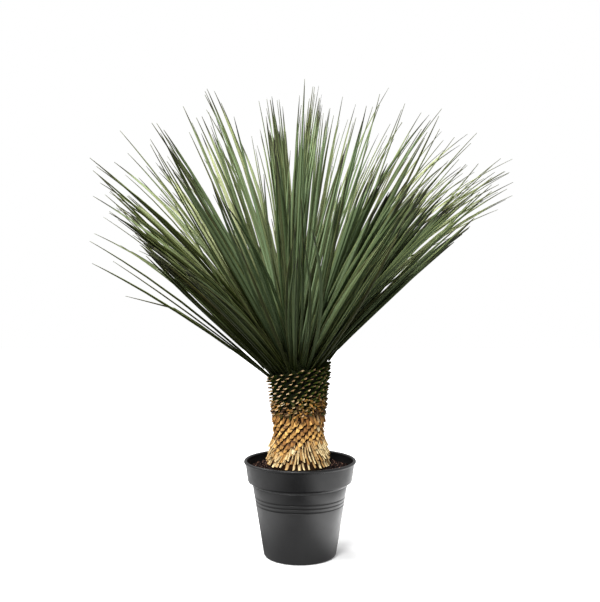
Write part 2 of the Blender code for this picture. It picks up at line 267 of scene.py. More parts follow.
def mix(share, first, second, mode="MIX"):
    return node("Mix", {0: share, 6: first, 7: second}, data_type="RGBA", blend_type=mode)[2]


def shaded(clear, colour, share, dark):
    # the colour where clear is 1, and where it is 0 that share of the dark one
    return mix(clear, mix(share, colour, dark), colour)


def ramp(value, low, high, bottom=0.0, top=1.0, kind="SMOOTHSTEP"):
    inputs = {"Value": value, "From Min": low, "From Max": high, "To Min": bottom, "To Max": top}
    return node("MapRange", inputs, interpolation_type=kind)["Result"]


def calc(operation, first, second=0.0):
    return node("Math", {0: first, 1: second}, operation=operation)[0]


def times(first, *others):
    for other in others:
        first = calc("MULTIPLY", first, other)
    return first


def bands(split, zones, start):
    # ramps along the axes, each times its strength, added up
    for axis, low, high, power in zones:
        start = calc("ADD", times(ramp(split[axis], low, high), power), start)
    return start


def mark(name):
    return node("Attribute", {}, attribute_name=name)["Fac"]


def hashOf(value, factor):
    # another random number from a copy's tint
    return node("TexWhiteNoise", {"W": times(value, factor)}, noise_dimensions="1D")["Value"]


def objectPlace():
    return node("TexCoord", {})["Object"]


def edges(uv, low, high, share):
    return times(ramp(calc("ABSOLUTE", calc("SUBTRACT", uv["X"], 0.5)), low, high), share)


def bump(surface, height, strength, distance):
    relief = node("Bump", {"Strength": strength, "Distance": distance, "Height": height})
    feed(surface["Normal"], relief["Normal"])


def newGroup(name, inputs, result):
    group = bpy.data.node_groups.new(name, "ShaderNodeTree")
    for label in inputs:
        kind = "NodeSocketVector" if label == "Vector" else "NodeSocketFloat"
        group.interface.new_socket(label, in_out="INPUT", socket_type=kind)
    group.interface.new_socket(result, in_out="OUTPUT", socket_type="NodeSocketFloat")
    openTree(group)
    return group, group.nodes.new("NodeGroupInput").outputs, group.nodes.new("NodeGroupOutput").inputs[0]


def streakGroup():
    # long fibres: noise that is stretched along V, different on every copy
    group, given, result = newGroup("fibreStreaks", ("Vector", "Tint", "Across", "Along"), "Streaks")
    split = node("SeparateXYZ", {0: given["Vector"]})
    across, along = times(split["X"], given["Across"]), times(split["Y"], given["Along"])
    place = node("CombineXYZ", {0: across, 1: along, 2: times(given["Tint"], 37.0)})[0]
    feed(result, node("TexNoise", {"Vector": place, "Scale": 1.0, "Detail": 3.0})["Fac"])
    return group


def mottleGroup():
    # soft patches, for dust, damp and uneven colour
    group, given, result = newGroup("mottle", ("Vector", "Scale", "Low", "High"), "Mask")
    cloud = node("TexNoise", {"Vector": given["Vector"], "Scale": given["Scale"], "Detail": 4.0})
    feed(result, ramp(cloud["Fac"], given["Low"], given["High"], kind="LINEAR"))
    return group


streaks = streakGroup()
mottle = mottleGroup()


def fibresOf(tint, across, along):
    inputs = {"Vector": node("UVMap", {})["UV"], "Tint": tint, "Across": across, "Along": along}
    return node("Group", inputs, node_tree=streaks)["Streaks"]


def patchesOf(place, scale, low, high):
    inputs = {"Vector": place, "Scale": scale, "Low": low, "High": high}
    return node("Group", inputs, node_tree=mottle)["Mask"]


def newMaterial(name, roughness, specular):
    material = bpy.data.materials.new(name)
    material.use_nodes = True
    openTree(material.node_tree)
    surface = material.node_tree.nodes["Principled BSDF"].inputs
    feed(surface["Roughness"], roughness)
    feed(surface["Specular IOR Level"], specular)
    return material, surface


def strandMaterial(name, roughness, specular, across, along):
    # a start for scales, strips and leaves: their UV map, their tint and their fibres
    material, surface = newMaterial(name, roughness, specular)
    uv = node("SeparateXYZ", {0: node("UVMap", {})["UV"]})
    tint = mark("tint")
    return material, surface, uv, tint, fibresOf(tint, across, along)


# pot

pot = {
    "rimRadius": 0.1200,
    "height": 0.2030,
    "footRadius": 0.0768,  # where the tapered side would meet the ground
    "footFillet": 0.0060,
    "wall": 0.0022,
    "floorTop": 0.0046,
    "bandLow": (0.1114, 0.1590),
    "bandHigh": (0.1166, 0.1965),
    "bandFillet": 0.0030,
    "neck": (0.1006, 0.1460),
    # the side steps back a little under the ledge: top, height and depth of the step
    "crease": (0.1528, 0.0030, 0.0013),
    "lipRadius": 0.0033,
    "lipArc": (-50, 210),
    "recess": (0.0340, 0.0590, 0.0018),  # inner radius, outer radius, depth
    "recessSlope": 0.0010,
    "grooves": (0.1118, 0.1197, 0.1277),
    "groove": (0.0022, 0.0008),  # half width, depth
    "grooveStep": 0.00795,
    "drains": 6,
    "drainRadius": 0.0045,
    "drainCircle": 0.0465,
    "steps": 144,
    "smooth": radians(32),
    "dustAndLightZone": (0.152, 0.090),  # heights where the dusty, painted lighter part begins, and where it is full
    "creaseHighlight": (0.1500, 0.1515, 0.1540, 0.1560),
    "grooveShadeReach": (0.0112, 0.0102),
    "sheenZone": (0.165, 0.100),
    "sheen": 0.40,
    "sheenRoughness": 0.44,
    "roughness": (0.38, 0.50),
}


def sideRadius(height):
    neckRadius, neckHeight = pot["neck"]
    return pot["footRadius"] + (neckRadius - pot["footRadius"]) * height / neckHeight


def hollow(middle, half, depth, steps):
    # points of a soft hollow in the side
    for k in steps:
        height = middle + half * k / 4
        yield sideRadius(height) - depth * (0.5 + 0.5 * cos(pi * k / 4)), height


def potOutside():
    foot = (pot["footRadius"], 0)
    points = roundCorner((0, 0), foot, pot["neck"], pot["footFillet"], 6)
    for middle in pot["grooves"]:
        points += hollow(middle, *pot["groove"], range(-4, 5))
    points += hollow(*pot["crease"], range(-4, 1))
    points += roundCorner(points[-1], pot["bandLow"], pot["bandHigh"], pot["bandFillet"], 4)
    points.append(pot["bandHigh"])
    return points


def potLip():
    radius, steps = pot["lipRadius"], 12
    start, end = pot["lipArc"]
    points = []
    for k in range(steps + 1):
        angle = radians(start + (end - start) * k / steps)
        points.append((pot["rimRadius"] - radius + radius * cos(angle),
                       pot["height"] - radius + radius * sin(angle)))
    return points


def potInside():
    wall = pot["wall"]
    foot = (sideRadius(pot["floorTop"]) - wall, pot["floorTop"])
    neck = (pot["neck"][0] - wall, pot["neck"][1] + wall)
    return [
        *roundCorner((0, pot["floorTop"]), foot, neck, pot["footFillet"], 4),
        neck,
        (pot["bandLow"][0] - wall, pot["bandLow"][1] + wall),
        (pot["bandHigh"][0] - wall, pot["bandHigh"][1]),
    ]


def potUnderside():
    inner, outer, depth = pot["recess"]
    slope = pot["recessSlope"]
    return [(outer + slope, 0), (outer, depth), (inner, depth), (inner - slope, 0), (0, 0)]


def plasticMaterial():
    material, surface = newMaterial("potPlastic", pot["roughness"][0], 0.30)
    place = objectPlace()
    height = node("SeparateXYZ", {0: place})["Z"]
    # painted light: the side is lighter further down, as lit from the floor, and dusty in uneven patches
    dustAndFloorLight = times(ramp(height, *pot["dustAndLightZone"]), calc("ADD", patchesOf(place, 14.0, 0.25, 0.70), 1.0))
    colour = mix(times(dustAndFloorLight, 0.5), (0.0045, 0.0045, 0.0048), (0.0220, 0.0220, 0.0225))
    # a painted highlight: a pale line in the crease under the ledge
    start, full, fade, end = pot["creaseHighlight"]
    line = times(ramp(height, end, fade), ramp(height, start, full))
    colour = mix(line, colour, (0.1000, 0.1000, 0.1010))
    # painted shade: the grooves are near black, and lose the coat
    off = calc("SUBTRACT", height, pot["grooves"][1])
    within = ramp(calc("ABSOLUTE", off), *pot["grooveShadeReach"])
    grooveShade = times(ramp(calc("PINGPONG", off, pot["grooveStep"] / 2), 0.0021, 0.0010), within)
    feed(surface["Base Color"], mix(grooveShade, colour, (0.0010, 0.0010, 0.0010)))
    # the side is shinier than the band above it
    sheen = times(ramp(height, *pot["sheenZone"]), calc("SUBTRACT", 1.0, grooveShade))
    feed(surface["Coat Weight"], times(sheen, pot["sheen"]))
    feed(surface["Coat Roughness"], pot["sheenRoughness"])
    scuffs = patchesOf(place, 60.0, 0.3, 0.8)
    feed(surface["Roughness"], ramp(scuffs, 0.0, 1.0, *pot["roughness"], kind="LINEAR"))
    grain = node("TexNoise", {"Vector": place, "Scale": 1400.0, "Detail": 2.0})
    bump(surface, grain["Fac"], 0.12, 0.0003)
    return material


def makePot():
    outline = [(0, pot["floorTop"]), *potInside(), *potLip()[::-1], *potOutside()[::-1], *potUnderside()]
    piece = spinOutline("potShell", outline, pot["steps"])
    for k in range(pot["drains"]):
        spot = around(tau * k / pot["drains"], pot["drainCircle"], 0)
        drill = started(bpy.ops.mesh.primitive_cylinder_add, vertices=32, radius=pot["drainRadius"],
                        depth=pot["floorTop"] * 4, location=spot)
        applied(piece, "BOOLEAN", operation="DIFFERENCE", object=drill)
        bpy.data.objects.remove(drill)
    smoothed(piece, pot["smooth"])
    dress(piece, plasticMaterial(), "pot", "pot")


# soil

soil = {
    "edgeHeight": 0.1840,
    "stemHeight": 0.1905,
    "flatRadius": 0.0800,
    "holeRadius": 0.0550,
    "holeFoot": 0.1097,  # the hole is plain, and goes down as far as the trunk's foot
    "clear": 0.0004,
    "lump": 0.0016,
    "grit": 0.0011,
    "sunk": 0.0008,
    "crumbs": 2300,
    "crumbZone": (0.0680, 0.0022),  # inner radius, and the distance kept from the wall
    "crumbSize": (0.0007, 0.0030),
    "seed": 21,
    "rings": 26,
    "steps": 144,
    "smooth": radians(50),
}


def soilHeight(x, y):
    out = hypot(x, y)
    share = (out - soil["flatRadius"]) / (potWallAt(soil["edgeHeight"]) - soil["flatRadius"])
    height = blendValue(soil["stemHeight"], soil["edgeHeight"], share)
    if out > soil["flatRadius"]:
        height += soil["lump"] * noise.noise(Vector((x, y, height)) * 70)
    return height + soil["grit"] * noise.noise(Vector((x, y, 0.3)) * 260) - soil["sunk"]


def potWallAt(height):
    (lowR, lowZ), (highR, highZ) = pot["bandLow"], pot["bandHigh"]
    return blendValue(lowR, highR, (height - lowZ) / (highZ - lowZ)) - pot["wall"] - soil["clear"]


def soilMaterial():
    material, surface = newMaterial("pottingSoil", 0.93, 0.10)
    place = objectPlace()
    colour = mix(patchesOf(place, 60.0, 0.3, 0.7), (0.004, 0.002, 0.002), (0.013, 0.006, 0.005))
    bits = node("TexVoronoi", {"Vector": place, "Scale": 520.0})
    colour = mix(ramp(bits["Color"], 0.78, 0.98), colour, (0.060, 0.030, 0.020))
    colour = mix(ramp(mark("tint"), 0.76, 0.98), colour, (0.210, 0.118, 0.085))
    feed(surface["Base Color"], colour)
    bump(surface, bits["Distance"], 0.8, 0.0010)
    return material


def makeSoil():
    clear, hole = soil["clear"], soil["holeRadius"]
    edge = potWallAt(soil["edgeHeight"])
    inside = [(r - clear, z + clear) for r, z in potInside()]
    top = []
    for k in range(soil["rings"] + 1):
        top.append((blendValue(hole, edge, k / soil["rings"]), soil["stemHeight"]))
    foot = [(0, inside[0][1]), (0, soil["holeFoot"]), (hole, soil["holeFoot"])]
    piece = spinOutline("soilBed", [*top, *inside[:-1][::-1], *foot, top[0]], soil["steps"])
    for vertex in piece.data.vertices:
        if vertex.co.z > soil["stemHeight"] - clear:
            vertex.co.z = soilHeight(vertex.co.x, vertex.co.y)
        if hypot(vertex.co.x, vertex.co.y) < hole + clear:
            vertex.co.x += stemX
    smoothed(piece, soil["smooth"])
    earth = soilMaterial()
    dress(piece, earth, "soil", "soil")
    makeCrumbs(earth)


def makeCrumbs(earth):
    draw = random.Random(soil["seed"])
    pattern = started(bpy.ops.mesh.primitive_ico_sphere_add, subdivisions=1, radius=1)
    points = pointsOf(pattern)
    inner, gap = soil["crumbZone"]
    low, high = soil["crumbSize"]
    outer = potWallAt(soil["edgeHeight"]) - gap
    copies = []
    for k in range(soil["crumbs"]):
        out = sqrt(draw.uniform(inner ** 2, outer ** 2))
        spot = around(draw.uniform(0, tau), out, 0)
        size = low + (high - low) * draw.random() ** 3
        spot.z = soilHeight(spot.x, spot.y) + size * draw.uniform(-0.1, 0.5)
        shape = varied(draw, (0.6, 1.3), (0.6, 1.3), (0.5, 0.9)) * size
        turn = Euler(varied(draw, *[(0, tau)] * 3)).to_matrix()
        ragged = points * shape * varied(draw, *[(0.75, 1.2)] * len(points))[:, None]
        copies.append(copyAt(pattern, ragged @ np.array(turn) + np.array(spot), tint=draw.random()))
    dress(joined("soilCrumbs", pattern, copies), earth, "soil")


trunk = {
    "radius": 0.0512,
    "foot": 0.1100,
    "bevel": 0.0040,
    "top": 0.3020,
    "coreSteps": 72,
    "scale": {"across": 0.0098, "thick": 0.0030, "long": 0.0124, "keel": 0.15, "slant": 0.5,
              "bend": 0.0006},
    "scaleRows": 20,  # rows that climb steeply to the right
    "scalesUp": 8,
    "scaleStep": (0.0066, 0.0071),  # round and up, from a scale to the next one in its row
    "scaleDraw": (0.02, 0.0010),
    "scaleFoot": 0.2440,
    "scaleSpread": ((0.85, 1.1), (0.9, 1.1), (0.8, 1.2)),
    "scaleFlare": (17, 25),
    "scaleSway": (-0.55, -0.25),
    "tongue": (radians(-122), radians(27), 4),  # where the rows reach down over the skirt
    "strip": {"across": 0.0072, "thick": 0.0042, "long": 0.0225, "keel": 0.25, "bend": 0.0006},
    "stripTop": 0.3075,
    "strips": 39,
    "stripDraw": (0.15, 0.003),
    "stripSpread": ((0.75, 1.05), (0.85, 1.1), (0.8, 1.2)),
    "stripFlare": (6, 14),
    "stripSway": (-0.14, 0.06),
    # the strips under the collar are painted darker, as its shade: their tint is drawn only up to this
    # share
    "stripTint": 0.36,
    "fan": 0.38,  # the strips lean away from the middle of the front and of the back
    "seed": 4,
}


def barkMaterial():
    material, surface, uv, tint, fibres = strandMaterial("dryBark", 0.78, 0.25, 5.0, 1.4)
    colour = mix(tint, (0.300, 0.125, 0.030), (0.930, 0.545, 0.160))
    colour = mix(ramp(hashOf(tint, 91.0), 0.965, 0.985), colour, (0.900, 0.740, 0.430))
    # painted shade: each scale and strip is dark towards its root, where it comes out from under the one
    # above
    colour = shaded(ramp(uv["Y"], 0.22, 0.54), colour, 0.90, (0.05, 0.020, 0.007))
    colour = shaded(ramp(fibres, 0.36, 0.60), colour, 0.6, (0.10, 0.045, 0.014))
    feed(surface["Base Color"], colour)
    bump(surface, fibres, 0.7, 0.0012)
    return material


def coreMaterial(name, colour, darker):
    # the cores are painted near black, as the shade in the gaps between the scales, strips, stubs and
    # leaves
    material, surface = newMaterial(name, 0.9, 0.05)
    patches = patchesOf(objectPlace(), 130.0, 0.3, 0.7)
    feed(surface["Base Color"], mix(patches, darker, colour))
    bump(surface, patches, 0.7, 0.002)
    return material


def dressCore(core, height, name, colour, darker, slotName, *replaced):
    core.data.transform(Matrix.Translation((stemX, 0, height)))
    dress(core, coreMaterial(name, colour, darker), slotName, *replaced)


def hang(points, angle, radius, height, flare, sway, faceSway=0):
    # a bar on the round stem: flare tips its far end out from hanging, the sways turn it sideways
    out = around(angle, 1, 0)
    side = Vector((-sin(angle), cos(angle), 0))
    along = out * sin(flare) - up * cos(flare) + side * sway
    face = out * cos(flare) + up * sin(flare) + side * faceSway
    placed = stand(points, around(angle, radius, height, stemX), along, face)
    placed[:, 2] = np.maximum(placed[:, 2], skirt["foot"])
    return placed


def hung(name, shape, plan, material, slotName):
    # copies of one bar: the plan gives the size, the marks and the place of each
    pattern = barPattern(**shape)
    points = pointsOf(pattern)
    copies = [copyAt(pattern, hang(points * size, *place), **marks) for size, marks, *place in plan]
    dress(joined(name, pattern, copies), material, slotName)


def makeTrunk():
    radius, foot, top, bevel = (trunk[label] for label in ("radius", "foot", "top", "bevel"))
    outline = [(0, top), (radius, top), (radius, foot + bevel), (radius - bevel, foot), (0, foot)]
    core = spinOutline("trunkCore", outline, trunk["coreSteps"])
    dressCore(core, 0, "barkShade", (0.030, 0.013, 0.006), (0.010, 0.005, 0.003), "trunk", "trunk")
    draw = random.Random(trunk["seed"])
    bark = barkMaterial()
    hung("trunkScales", trunk["scale"], scalePlan(draw), bark, "trunk")
    hung("trunkStrips", trunk["strip"], stripPlan(draw), bark, "trunk")


def tongueShare(angle):
    # 0 in the middle of the tongue, 1 at its edges
    middle, half = trunk["tongue"][:2]
    return abs((angle - middle + pi) % tau - pi) / half


def scalePlan(draw):
    across, rise = trunk["scaleStep"]
    aside, above = trunk["scaleDraw"]
    for row in range(trunk["scaleRows"]):
        for k in range(-trunk["tongue"][2], trunk["scalesUp"]):
            angle = tau * row / trunk["scaleRows"] + k * across / trunk["radius"] + about(draw, aside)
            if k < 0 and tongueShare(angle) > 1 or k == 0 and cos(angle) > 0.1:
                continue
            height = trunk["scaleFoot"] + k * rise + about(draw, above)
            size = varied(draw, *trunk["scaleSpread"])
            flare = radians(draw.uniform(*trunk["scaleFlare"]))
            sway = draw.uniform(*trunk["scaleSway"])
            out = trunk["radius"] - 0.0010 if k > 1 else skirtRadius(height - 0.0080) - 0.0012
            yield size, {"tint": draw.random()}, angle, out, height, flare, sway


def stripPlan(draw):
    # long flat bases that hang under the collar
    aside, above = trunk["stripDraw"]
    out = trunk["radius"] + 0.0004
    for k in range(trunk["strips"]):
        angle = tau * (k + about(draw, aside)) / trunk["strips"]
        height = trunk["stripTop"] + about(draw, above)
        size = varied(draw, *trunk["stripSpread"])
        flare = radians(draw.uniform(*trunk["stripFlare"]))
        sway = draw.uniform(*trunk["stripSway"]) - trunk["fan"] * sin(2 * angle)
        # painted shade: these strips get only the darker tints
        yield size, {"tint": draw.random() * trunk["stripTint"]}, angle, out, height, flare, sway


skirt = {
    "inner": 0.0548,
    "side": ((0.0545, 0.2440), (0.0575, 0.2360), (0.0600, 0.2200), (0.0625, 0.2000), (0.0625, 0.1912)),
    # the tiers hold a top, a count, and shares of the strip's length and width
    "tiers": ((0.2500, 62, 0.85, 0.95), (0.2400, 66, 0.90, 1.0), (0.2290, 66, 0.90, 1.0),
              (0.2090, 36, 0.62, 1.6)),
    "strip": {"across": 0.0044, "thick": 0.0032, "long": 0.0250, "tip": 0.70, "bend": 0.0040},
    "stripDraw": (0.32, 0.0025),
    "stripFlare": (6, 16),
    "ragged": 0.0045,
    "underTongue": (0.2270, 0.2600),  # the tops stay below the trunk's tongue
    "flareZone": (0.200, 0.024),  # height where the strips hang straight, and how soon they flare out
    "fan": 0.30,
    "sway": 0.16,
    "leftDark": 0.60,
    "foot": 0.1935,
    "seed": 9,
}


def strawMaterial():
    material, surface, uv, tint, fibres = strandMaterial("dryStraw", 0.66, 0.3, 5.0, 1.2)
    colour = mix(ramp(tint, 0.0, 0.50), (0.500, 0.280, 0.085), (0.950, 0.770, 0.410))
    # painted shade: each strip is darker towards its top, under the tier above
    colour = shaded(ramp(uv["Y"], 0.00, 0.40), colour, 0.55, (0.25, 0.125, 0.04))
    colour = shaded(ramp(fibres, 0.36, 0.58), colour, 0.62, (0.25, 0.12, 0.035))
    # painted shade: each strip is darker at its sides, where it meets the next
    feed(surface["Base Color"], mix(edges(uv, 0.25, 0.45, 0.92), colour, (0.10, 0.040, 0.012)))
    bump(surface, fibres, 0.6, 0.0008)
    return material


def makeSkirt():
    inner, side = skirt["inner"], skirt["side"]
    outline = [(inner, side[0][1]), *side, (inner, side[-1][1]), (inner, side[0][1])]
    core = spinOutline("skirtCore", outline, trunk["coreSteps"])
    dressCore(core, 0, "strawShade", (0.040, 0.019, 0.008), (0.012, 0.006, 0.003), "skirt", "skirt")
    hung("skirtStrips", skirt["strip"], skirtPlan(), strawMaterial(), "skirt")


def skirtPlan():
    draw = random.Random(skirt["seed"])
    straight, soon = skirt["flareZone"]
    aside, above = skirt["stripDraw"]
    for top, count, share, wide in skirt["tiers"]:
        for k in range(count):
            angle = tau * (k + about(draw, aside)) / count
            # the tops climb and fall round the stem, higher at its right
            wave = noise.noise(Vector((cos(angle) * 1.6, sin(angle) * 1.6, 0.7)))
            height = top + skirt["ragged"] * (wave * 1.4 + 0.5 * cos(angle)) + about(draw, above)
            height = min(height, blendValue(*skirt["underTongue"], (tongueShare(angle) - 0.4) / 0.7))
            long = share * draw.uniform(0.8, 1.15)
            size = np.array([wide * draw.uniform(0.6, 1.2), long, draw.uniform(0.8, 1.3)])
            flare = radians(draw.uniform(*skirt["stripFlare"])) * min(1, (height - straight) / soon)
            lean = skirt["fan"] * sin(2 * angle) * (1.5 if cos(angle) < 0 else 1)
            sway = about(draw, skirt["sway"]) - lean
            tint = draw.random() * (1 - skirt["leftDark"] * max(-cos(angle), 0))
            yield size, {"tint": tint}, angle, skirtRadius(height) - 0.0008, height, flare, sway


def skirtRadius(height):
    side = skirt["side"]
    for (highR, highZ), (lowR, lowZ) in zip(side, side[1:]):
        if height > lowZ:
            return blendValue(lowR, highR, (height - lowZ) / (highZ - lowZ))
    return side[-1][0]


collar = {
    "foot": 0.3023,
    "radius": (0.0530, 0.0610),
    "joint": 0.3900,  # height of the slanted top on the axis
    "slant": radians(11),
    "stubs": 280,
    "stub": {"across": 0.0176, "thick": 0.0058, "long": 0.0195, "keel": -0.25, "tip": 0.45, "slant": 0.34,
             "edge": 0.3},
    "stubSpread": ((0.75, 1.1), (0.85, 1.1), (0.8, 1.2)),
    "stubZone": (0.0020, 0.0040),  # how far above the foot they begin, and above the top they end
    # how much the stubs rise, how much more at the right and less at the left, and less at the foot
    "rise": (radians(15), radians(14), radians(16)),
    "riseDraw": 0.10,
    "turn": ((0.05, 0.40), (-0.65, -0.25)),  # sideways, of a stub's end and of its face
    "sunk": (0.72, 0.42),  # share of a stub inside the core, at the foot and at the top
    "ageZone": 0.0400,
    "ageDraw": 0.25,
    "seed": 8,
    "flakes": 460,
    "flake": {"across": 0.0050, "thick": 0.0012, "long": 0.0090, "rings": 2, "keel": 0.3, "tip": 0.35,
              "bend": 0.0015, "edge": 1.0},
    "flakeSpread": ((0.5, 1.3), (0.5, 1.15), (0.7, 1.3)),
    "flakeFlare": (8, 75),
    "flakeOut": (-0.0005, 0.0015),
    "flakeZone": (0.3020, 0.3400, 0.0100),  # the last is added at the right and taken off at the left
}


def jointHeight(x):
    return collar["joint"] + x * tan(collar["slant"])


def stubMaterial():
    material, surface, uv, tint, fibres = strandMaterial("cutLeafBase", 0.66, 0.06, 6.0, 1.5)
    green = mix(fibres, (0.011, 0.019, 0.003), (0.072, 0.102, 0.015))
    golden = mix(tint, (0.080, 0.044, 0.008), (0.250, 0.125, 0.028))
    colour = mix(ramp(mark("age"), 0.35, 0.95), green, golden)
    brown = mix(hashOf(tint, 53.0), (0.100, 0.050, 0.026), (0.310, 0.180, 0.090))
    colour = mix(times(ramp(uv["Y"], 0.86, 0.99), 0.75), colour, brown)
    # dry margins
    colour = mix(edges(uv, 0.40, 0.48, 0.6), colour, (0.230, 0.150, 0.060))
    dry = mix(hashOf(tint, 17.0), (0.240, 0.125, 0.055), (0.760, 0.550, 0.310))
    feed(surface["Base Color"], mix(mark("cutEnd"), colour, dry))
    bump(surface, fibres, 0.5, 0.0008)
    return material


def flakeMaterial():
    # dry scraps: brown, golden, olive, now and then green or cream
    material, surface, uv, tint, fibres = strandMaterial("dryFlakes", 0.70, 0.3, 6.0, 2.0)
    shades = ((0.0, (0.050, 0.023, 0.007)), (0.28, (0.230, 0.105, 0.014)), (0.54, (0.085, 0.058, 0.007)),
              (0.74, (0.370, 0.185, 0.042)), (0.89, (0.045, 0.055, 0.006)), (0.980, (0.900, 0.780, 0.520)))
    kinds = material.node_tree.nodes.new("ShaderNodeValToRGB")
    stops = kinds.color_ramp.elements
    kinds.color_ramp.interpolation = "CONSTANT"
    for spot, shade in shades:
        stops.new(spot).color = (*shade, 1)
    stops.remove(stops[-1])
    feed(kinds.inputs["Fac"], tint)
    contrast = mix(fibres, (0.4, 0.4, 0.4), (1.5, 1.5, 1.5))
    feed(surface["Base Color"], mix(1.0, kinds.outputs["Color"], contrast, "MULTIPLY"))
    return material


def makeCollar():
    footRadius, topRadius = collar["radius"]
    foot, slant = collar["foot"], collar["slant"]
    high = jointHeight(topRadius)
    core = spinOutline("collarCore", [(0, high), (topRadius, high), (footRadius, foot), (0, foot)],
                       trunk["coreSteps"])
    pick(core, lambda co: True)
    bpy.ops.mesh.bisect(plane_co=(0, 0, collar["joint"]), plane_no=(-sin(slant), 0, cos(slant)),
                        use_fill=True, clear_outer=True)
    objectMode()
    dressCore(core, 0, "collarShade", (0.009, 0.011, 0.004), (0.003, 0.003, 0.002), "collar", "collar")
    draw = random.Random(collar["seed"])
    hung("collarStubs", collar["stub"], stubPlan(draw), stubMaterial(), "collar")
    hung("collarFlakes", collar["flake"], flakePlan(draw), flakeMaterial(), "collar")


def stubPlan(draw):
    foot = collar["foot"]
    start, past = collar["stubZone"]
    rising, more, less = collar["rise"]
    endTurn, faceTurn = collar["turn"]
    for k in range(collar["stubs"]):
        angle = k * goldenAngle
        share = (k + 0.5) / collar["stubs"]
        height = foot + start + (jointHeight(collar["radius"][1]) + past - foot) * share
        rise = rising + more * cos(angle) + about(draw, collar["riseDraw"]) - less * (1 - share) ** 2
        size = varied(draw, *collar["stubSpread"])
        sunk = collar["stub"]["long"] * size[1] * blendValue(*collar["sunk"], share ** 0.6) * cos(rise)
        out = blendValue(*collar["radius"], share) - sunk
        if height > jointHeight(out * cos(angle)) + past:
            continue
        sway, faceSway = varied(draw, endTurn, faceTurn)
        # the lower stubs are old and golden, more of them at the right
        age = 1 - (height - foot) / collar["ageZone"] + 0.25 * cos(angle) + about(draw, collar["ageDraw"])
        yield size, {"tint": draw.random(), "age": age}, angle, out, height, pi / 2 + rise, sway, faceSway


def flakePlan(draw):
    # the ragged foot of the collar
    low, high, more = collar["flakeZone"]
    for k in range(collar["flakes"]):
        angle = k * goldenAngle + about(draw, 0.1)
        share = draw.random() ** 1.5
        height = blendValue(low, high + more * cos(angle), share)
        size = varied(draw, *collar["flakeSpread"])
        flare = radians(draw.uniform(*collar["flakeFlare"]))
        out = blendValue(*collar["radius"], share * 0.35) + draw.uniform(*collar["flakeOut"])
        sway = about(draw, 1.0)
        yield size, {"tint": draw.random()}, angle, out, height, flare, sway


# crown

